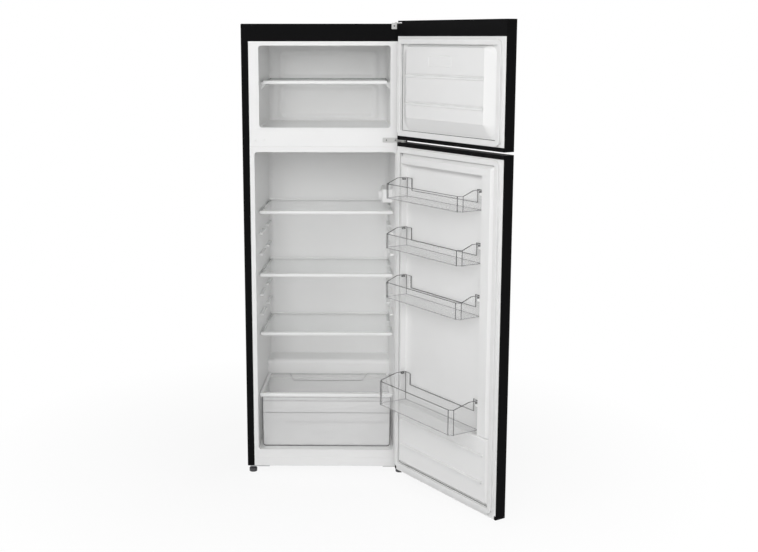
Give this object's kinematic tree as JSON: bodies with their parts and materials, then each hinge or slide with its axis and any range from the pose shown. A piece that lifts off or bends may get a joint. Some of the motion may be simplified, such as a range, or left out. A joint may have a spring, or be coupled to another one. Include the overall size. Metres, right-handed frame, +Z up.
{
  "type": "top freezer refrigerator",
  "caption": "Free-standing refrigerator with a freezer on top, doors open: glass shelves, clear crisper drawer and clear door bins in white liners, black case.",
  "frame": {"origin": "on the floor under the middle of the cabinet's footprint, doors left out", "axes": "+Z up, the doors face -Y, +X towards the hinge side"},
  "size_m": [0.9266, 1.0908, 1.698],
  "materials": {
    "black_paint": "smooth black stove enamel, satin to gloss",
    "black_plastic": "black moulded plastic",
    "zinc_steel": "zinc-coated sheet",
    "foam": "rigid insulation, hidden",
    "white_liner": "vacuum-formed white plastic with a soft shine",
    "white_trim": "white moulded plastic",
    "white_paint": "white enamel",
    "pale_trim": "translucent pale grey plastic",
    "shelf_glass": "clear toughened glass",
    "clear_plastic": "clear moulded plastic",
    "lens_plastic": "frosted clear plastic",
    "seal": "soft pale grey vinyl",
    "bush_plastic": "natural plastic bearing bush",
    "hinge_steel": "bright zinc-plated steel",
    "foot_plastic": "dark grey moulded plastic",
    "aluminium_plate": "rolled plate, hidden",
    "board": "white coated lamp board",
    "compressor_paint": "black enamel",
    "dark_rubber": "black rubber",
    "copper": "drawn copper",
    "coil_paint": "black dipped steel wire"
  },
  "bodies": {
    "cabinet": {"outer_shell": "black_paint", "back_panel": "zinc_steel", "base_pan": "zinc_steel", "cabinet_foam": "foam", "evaporator_plate": "aluminium_plate", "fridge_liner": "white_liner", "freezer_liner": "white_liner", "mullion_strip": "white_trim", "front_rail": "white_paint", "upper_hinge": "hinge_steel", "middle_hinge": "hinge_steel", "lower_hinge": "hinge_steel", "left_foot_bracket": "zinc_steel", "hinge_screws": "hinge_steel", "control_housing": "white_trim", "lamp_lens": "lens_plastic", "lamp_board": "board", "rear_feet": "black_plastic", "compressor_rail": "zinc_steel", "compressor": "compressor_paint", "compressor_grommets": "dark_rubber", "terminal_box": "black_plastic", "drip_tray": "black_plastic", "filter_drier": "copper", "refrigerant_pipes": "copper", "condenser_tube": "coil_paint", "condenser_wires": "coil_paint", "condenser_brackets": "coil_paint"},
    "freezer_door": {"freezer_door_skin": "black_paint", "freezer_door_top_cap": "black_plastic", "freezer_door_bottom_cap": "black_plastic", "freezer_door_bushes": "bush_plastic", "freezer_door_liner": "white_liner", "freezer_door_foam": "foam", "freezer_door_gasket": "seal"},
    "fridge_door": {"fridge_door_skin": "black_paint", "fridge_door_top_cap": "black_plastic", "fridge_door_bottom_cap": "black_plastic", "fridge_door_bushes": "bush_plastic", "fridge_door_liner": "white_liner", "fridge_door_foam": "foam", "fridge_door_gasket": "seal"},
    "drawer": {"crisper_drawer": "clear_plastic"},
    "drawer_cover": {"crisper_cover": "shelf_glass", "crisper_cover_trim": "pale_trim"},
    "lower_shelf": {"lower_shelf_glass": "shelf_glass", "lower_shelf_trims": "pale_trim"},
    "middle_shelf": {"middle_shelf_glass": "shelf_glass", "middle_shelf_trims": "pale_trim"},
    "upper_shelf": {"upper_shelf_glass": "shelf_glass", "upper_shelf_trims": "pale_trim"},
    "freezer_shelf": {"freezer_shelf_glass": "shelf_glass", "freezer_shelf_trim": "pale_trim"},
    "bottom_bin": {"bottom_bin": "clear_plastic"},
    "lower_bin": {"lower_bin": "clear_plastic"},
    "middle_bin": {"middle_bin": "clear_plastic"},
    "top_bin": {"top_bin": "clear_plastic"},
    "thermostat": {"thermostat_knob": "white_trim"},
    "left_foot": {"front_foot_left": "foot_plastic"},
    "right_foot": {"front_foot_right": "foot_plastic"}
  },
  "joints": [
    {"name": "freezer_door_hinge", "type": "hinge", "parent": "cabinet", "child": "freezer_door", "pos_m": [0.286, -0.2984, 1.48], "axis": [0, 0, 1], "range_deg": [-123.5, 5]},
    {"name": "fridge_door_hinge", "type": "hinge", "parent": "cabinet", "child": "fridge_door", "pos_m": [0.286, -0.2984, 0.65], "axis": [0, 0, 1], "range_deg": [-123.5, 5]},
    {"name": "drawer_slide", "type": "slide", "parent": "cabinet", "child": "drawer", "axis": [0, -1, 0], "range_m": [0, 0.28]},
    {"name": "drawer_cover_slide", "type": "slide", "parent": "cabinet", "child": "drawer_cover", "axis": [0, -1, 0], "range_m": [0, 0.09]},
    {"name": "lower_shelf_slide", "type": "slide", "parent": "cabinet", "child": "lower_shelf", "axis": [0, -1, 0], "range_m": [0, 0.09]},
    {"name": "middle_shelf_slide", "type": "slide", "parent": "cabinet", "child": "middle_shelf", "axis": [0, -1, 0], "range_m": [0, 0.09]},
    {"name": "upper_shelf_slide", "type": "slide", "parent": "cabinet", "child": "upper_shelf", "axis": [0, -1, 0], "range_m": [0, 0.09]},
    {"name": "freezer_shelf_slide", "type": "slide", "parent": "cabinet", "child": "freezer_shelf", "axis": [0, -1, 0], "range_m": [0, 0.09]},
    {"name": "bottom_bin_lift", "type": "slide", "parent": "fridge_door", "child": "bottom_bin", "axis": [0, 0, 1], "range_m": [0, 0.04]},
    {"name": "lower_bin_lift", "type": "slide", "parent": "fridge_door", "child": "lower_bin", "axis": [0, 0, 1], "range_m": [0, 0.04]},
    {"name": "middle_bin_lift", "type": "slide", "parent": "fridge_door", "child": "middle_bin", "axis": [0, 0, 1], "range_m": [0, 0.04]},
    {"name": "top_bin_lift", "type": "slide", "parent": "fridge_door", "child": "top_bin", "axis": [0, 0, 1], "range_m": [0, 0.04]},
    {"name": "thermostat_turn", "type": "hinge", "parent": "cabinet", "child": "thermostat", "pos_m": [0.2106, -0.031, 1.042], "axis": [-1, 0, 0], "range_deg": [0, 270]},
    {"name": "left_foot_turn", "type": "hinge", "parent": "cabinet", "child": "left_foot", "pos_m": [-0.281, -0.245, 0], "axis": [0, 0, 1], "continuous": true},
    {"name": "right_foot_turn", "type": "hinge", "parent": "cabinet", "child": "right_foot", "pos_m": [0.281, -0.245, 0], "axis": [0, 0, 1], "continuous": true}
  ]
}
